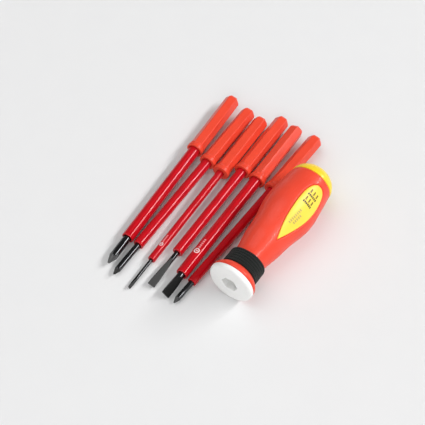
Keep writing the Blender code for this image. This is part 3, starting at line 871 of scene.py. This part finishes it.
def build_rod(number, kind, ground, ground_tone_and_shade, roughness, place):
    """Steel rod of one blade with its tip."""
    points = local_points(f"blade_{number}_rod", place)
    reach = np.hypot(points[:, 0], points[:, 2])
    back = points[:, 1].max()
    tip = points[:, 1].min()
    radius = reach[points[:, 1] > back - 1.0].max()
    chamfer = 0.3
    angles = turn_angles(120)
    loops = [round_loop(back, radius - chamfer, angles), round_loop(back - chamfer, radius, angles)]
    facing = None
    if kind == "cross":
        roll = roll_of(points, tip - 0.1, tip + 2.5 * radius, 4)
        loops += cross_tip_loops(radius, tip, angles, roll)
        ground = CROSS_FLUTE_LENGTH * radius
    else:
        end = points[points[:, 1] < tip + 0.2][:, (0, 2)]
        roll = roll_of(points, tip - 0.1, tip + 0.2, 2)
        direction = np.array((math.cos(roll), math.sin(roll)))
        across = np.array((-math.sin(roll), math.cos(roll)))
        half_width = np.abs(end @ direction).max()
        half_edge = np.abs(end @ across).max()
        loops += flat_tip_loops(radius, tip, ground, half_width, half_edge, angles, roll)
        facing = (place.to_3x3() @ Vector((across[0], 0.0, across[1]))).normalized()
    steel = tool_steel(f"steel_{number}", radius, tip, ground, ground_tone_and_shade, roughness, facing)
    piece = lofted(f"rod_{number}", loops, place, steel, f"blade_{number}", sharp=28.0)
    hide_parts(f"blade_{number}_rod")
    return radius


def build_sleeve(number, rod_radius, place):
    """Insulating tube of one blade, with a softly rolled front end."""
    points = local_points(f"blade_{number}_sleeve", place)
    radius = np.hypot(points[:, 0], points[:, 2]).max()
    front = points[:, 1].min()
    back = points[:, 1].max()
    bore = rod_radius + PIECE_GAP
    straight_from = front + 6.0
    mouth_flare = 0.15
    mouth_depth = 1.5
    rounding = min(0.7, (radius - bore) * 0.45)
    angles = turn_angles(96)
    path = eased([
        (back, bore, 0.0), (back, radius, 0.0), (straight_from, radius, 0.0),
        (front, radius, rounding), (front, bore + mouth_flare, 0.2),
        (front + mouth_depth, bore, 0.0),
    ], 6)
    loops = [round_loop(along, reach, angles) for along, reach in path]
    piece = lofted(f"sleeve_{number}", loops, place, SLEEVE_PLASTIC, f"blade_{number}",
                   ring=True, sharp=50.0)
    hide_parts(f"blade_{number}_sleeve")
    return radius, front


def build_shank(number, place):
    """Hexagonal shank: chamfered end, softened corners, a step, and a rounded collar."""
    points = local_points(f"blade_{number}_shank", place)
    reach = np.hypot(points[:, 0], points[:, 2])
    collar_radius = reach.max()
    front = points[:, 1].min()
    angles = turn_angles(144)
    roll = roll_of(points, -4.0, -SHANK_CHAMFER, 6)
    sleeve = local_points(f"blade_{number}_sleeve", place)
    bore = np.hypot(sleeve[:, 0], sleeve[:, 2]).max() + PIECE_GAP
    corner_sharpness = 34.0
    end_centre = 0.4
    end_inset = 1.55
    slope_start = 0.12
    slope_length = SHANK_CHAMFER - 0.25
    slope_inset = 1.25
    slope_rise = 1.15
    blend_radius = 6.0
    neck_radius = 5.75
    foot_radius = 5.8

    def hexagon(distance):
        """Radius of the soft-cornered hexagon whose flats lie at this distance."""
        return polygon_radius(angles, 6, distance, corner_sharpness, roll)

    half = SHANK_FLATS / 2
    loops = [round_loop(0.0, hexagon(end_centre), angles),
             round_loop(0.0, hexagon(half - end_inset), angles)]
    for share in np.linspace(0.15, 0.85, 4):
        loops.append(round_loop(-slope_start - slope_length * share,
                                hexagon(half - slope_inset + slope_rise * share), angles))
    loops.append(round_loop(-SHANK_CHAMFER, hexagon(half - 0.04), angles))
    loops.append(round_loop(-SHANK_CHAMFER - 0.4, hexagon(half), angles))
    collar_back = front + COLLAR_LENGTH
    step_back = collar_back + STEP_LENGTH
    loops.append(round_loop(step_back + 1.1, hexagon(half), angles))
    for share in (0.35, 0.75):
        swell = hexagon(half) * (1.0 - share) + blend_radius * share
        loops.append(round_loop(step_back + 0.9 - 0.5 * share, np.maximum(swell, hexagon(half)),
                                angles))
    path = eased([
        (step_back + 0.1, STEP_RADIUS - 0.05, 0.0), (step_back - 0.3, STEP_RADIUS, 0.3),
        (collar_back + 0.5, neck_radius, 0.3), (collar_back, foot_radius, 0.2),
        (collar_back - 0.1, collar_radius, 0.45), (front, collar_radius, 0.6), (front, bore, 0.25),
        (front + SLEEVE_POCKET, bore, 0.0), (front + SLEEVE_POCKET, 1.0, 0.0),
    ], 6)
    loops += [round_loop(along, radius, angles) for along, radius in path]
    piece = lofted(f"shank_{number}", loops, place, SHANK_PLASTIC, f"blade_{number}",
                   sharp=42.0)
    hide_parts(f"blade_{number}_shank")


def wrapped_patch(name, place, radius, centre_along, centre_angle, outline, number, ink):
    """Thin ink patch on a sleeve, from an inner and an outer edge of (along, across) points."""
    inner, outer = outline
    below = -0.02
    above = 0.035
    loops = []
    for edge, height in ((inner, below), (inner, above), (outer, above), (outer, below)):
        turn = centre_angle + edge[:, 1] / radius
        reach = radius + height
        loops.append(np.stack([reach * np.cos(turn), centre_along + edge[:, 0],
                               reach * np.sin(turn)], axis=1))
    lofted(name, loops, place, ink, f"blade_{number}", ring=True)


def build_sleeve_print(number, radius, front, place, along, ring_radius, angle):
    """A plain printed ring with a bar in it, and a short row of fainter ticks behind it."""
    ring_hole = 0.70
    bar_shape = (0.16, 0.42)
    tick_shape = (0.26, 0.34)
    tick_count = 5
    first_tick = 1.75
    tick_pitch = 0.85
    facing = math.radians(angle)
    turn = turn_angles(40)
    circle = np.stack([np.cos(turn), np.sin(turn)], axis=1)
    square = np.sign(circle) * np.abs(circle) ** 0.35
    centre = front + along
    wrapped_patch(f"print_ring_{number}", place, radius, centre, facing,
                  (circle * ring_radius * ring_hole, circle * ring_radius), number, WHITE_INK)
    bar = square * np.array(bar_shape) * ring_radius
    wrapped_patch(f"print_bar_{number}", place, radius, centre, facing, (bar * 0.2, bar),
                  number, WHITE_INK)
    mark = square * np.array(tick_shape) * ring_radius
    for tick in range(tick_count):
        wrapped_patch(f"print_tick_{number}_{tick + 1}", place, radius,
                      centre + ring_radius * (first_tick + tick_pitch * tick), facing,
                      (mark * 0.3, mark), number, FAINT_INK)


def build_blades():
    """All six blades, each with its rod, sleeve and shank, and the print on two of them."""
    for number, (kind, ground, ground_tone_and_shade, roughness) in enumerate(BLADES, start=1):
        place = blade_place(number)
        rod_radius = build_rod(number, kind, ground, ground_tone_and_shade, roughness, place)
        radius, front = build_sleeve(number, rod_radius, place)
        build_shank(number, place)
        if number in PRINTS:
            build_sleeve_print(number, radius, front, place, *PRINTS[number])


def finish_inner_nodes():
    """Give the CAD pieces that stay their own materials."""
    liner = moulded_plastic("liner_plastic", (0.80, 0.79, 0.74), (0.70, 0.69, 0.63), 0.5, own=False)
    cushion = moulded_plastic("cushion_rubber", (0.02, 0.02, 0.02), (0.012, 0.012, 0.012), 0.75,
                              own=False)
    steel = bright_metal("bright_steel", (0.62, 0.62, 0.63), 0.18)
    brass = bright_metal("plug_brass", (0.66, 0.47, 0.18), 0.28)
    finishes = {"socket_sleeve": liner, "socket_stop": cushion, "detent_ball": steel,
                "detent_plug": brass}
    for name, material in finishes.items():
        slots = frame["nodes"][name].material_slots
        for index in range(len(slots)):
            slots[index].material = material


# ---------------------------------------------------------------- stage, light, camera

FLOOR_SIZE = 11.0
# Name, direction from the middle of the set, distance, size, power
LAMPS = (
    ("softbox", (-0.35, -0.15, 0.92), 8.5, (7.5, 7.5), 280.0),
    ("strip", (0.60, 0.505, 0.62), 6.0, (0.8, 5.5), 275.0),
    ("front_fill", (0.45, -0.75, 0.6), 7.5, (6.0, 4.5), 250.0),
)


def area_lamp(name, direction, distance, size, power):
    """A rectangular lamp that looks at the set, its second side as near along Y as it can be."""
    data = bpy.data.lights.new(name, "AREA")
    data.shape = "RECTANGLE"
    data.size, data.size_y = size
    data.energy = power
    lamp = bpy.data.objects.new(name, data)
    toward = Vector(direction).normalized()
    long_axis = Vector((0.0, 1.0, 0.0))
    long_axis = (long_axis - toward * long_axis.dot(toward)).normalized()
    turn = Matrix((long_axis.cross(toward), long_axis, toward)).transposed()
    lamp.location = toward * distance
    lamp.rotation_euler = turn.to_euler()
    bpy.context.scene.collection.objects.link(lamp)


def build_stage():
    """Pale floor, a broad soft lamp, a strip for the long highlights, a fill, and a soft surround."""
    horizon_strength = 0.85
    upper_strength = 0.14
    upper_from = 0.22   # height on a sphere of radius 1 from which the surround is even
    bpy.ops.mesh.primitive_plane_add(size=FLOOR_SIZE, location=(0.0, 0.0, 0.0))
    floor = bpy.context.object
    floor.name = "floor"
    material, tree, shader = start_material("floor_paper")
    place = node(tree, "TexCoord").outputs["Object"]
    tone = noise(tree, place, 40.0, 4.0)
    tree.links.new(blend_colour(tree, tone, (0.80, 0.80, 0.80), (0.78, 0.78, 0.785)),
                   shader.inputs["Base Color"])
    shader.inputs["Roughness"].default_value = 0.8
    floor.data.materials.append(material)

    world = bpy.data.worlds.new("surround")
    world.use_nodes = True
    sky = world.node_tree
    background = sky.nodes["Background"]
    background.inputs["Color"].default_value = (1.0, 1.0, 1.0, 1.0)
    ray = node(sky, "SeparateXYZ", {"Vector": node(sky, "TexCoord").outputs["Generated"]})
    strength = remap(sky, ray.outputs["Z"], 0.0, upper_from, horizon_strength, upper_strength)
    sky.links.new(strength, background.inputs["Strength"])
    bpy.context.scene.world = world

    for lamp in LAMPS:
        area_lamp(*lamp)


def build_camera():
    """Camera above the set, looking over the tips from the handle's side."""
    azimuth = math.radians(34.84)
    elevation = math.radians(52.0)
    distance = 0.75
    from_handle = Vector((-0.051869, 0.053311, 0.0))
    target = HANDLE.translation + from_handle
    target.z = 0.0
    back = Vector((math.sin(azimuth) * math.cos(elevation),
                   -math.cos(azimuth) * math.cos(elevation), math.sin(elevation)))
    data = bpy.data.cameras.new("camera")
    data.sensor_width = 36.0
    data.lens = 87.0
    data.clip_start = 0.01
    camera = bpy.data.objects.new("camera", data)
    camera.location = target + back * distance
    camera.rotation_euler = (-back).to_track_quat("-Z", "Y").to_euler()
    bpy.context.scene.collection.objects.link(camera)
    bpy.context.scene.camera = camera


bpy.context.scene.view_settings.view_transform = "Standard"
build_camera()
build_grip()
build_label()
build_print()
build_core()
build_nose()
build_band()
build_spring()
build_blades()
finish_inner_nodes()
build_stage()
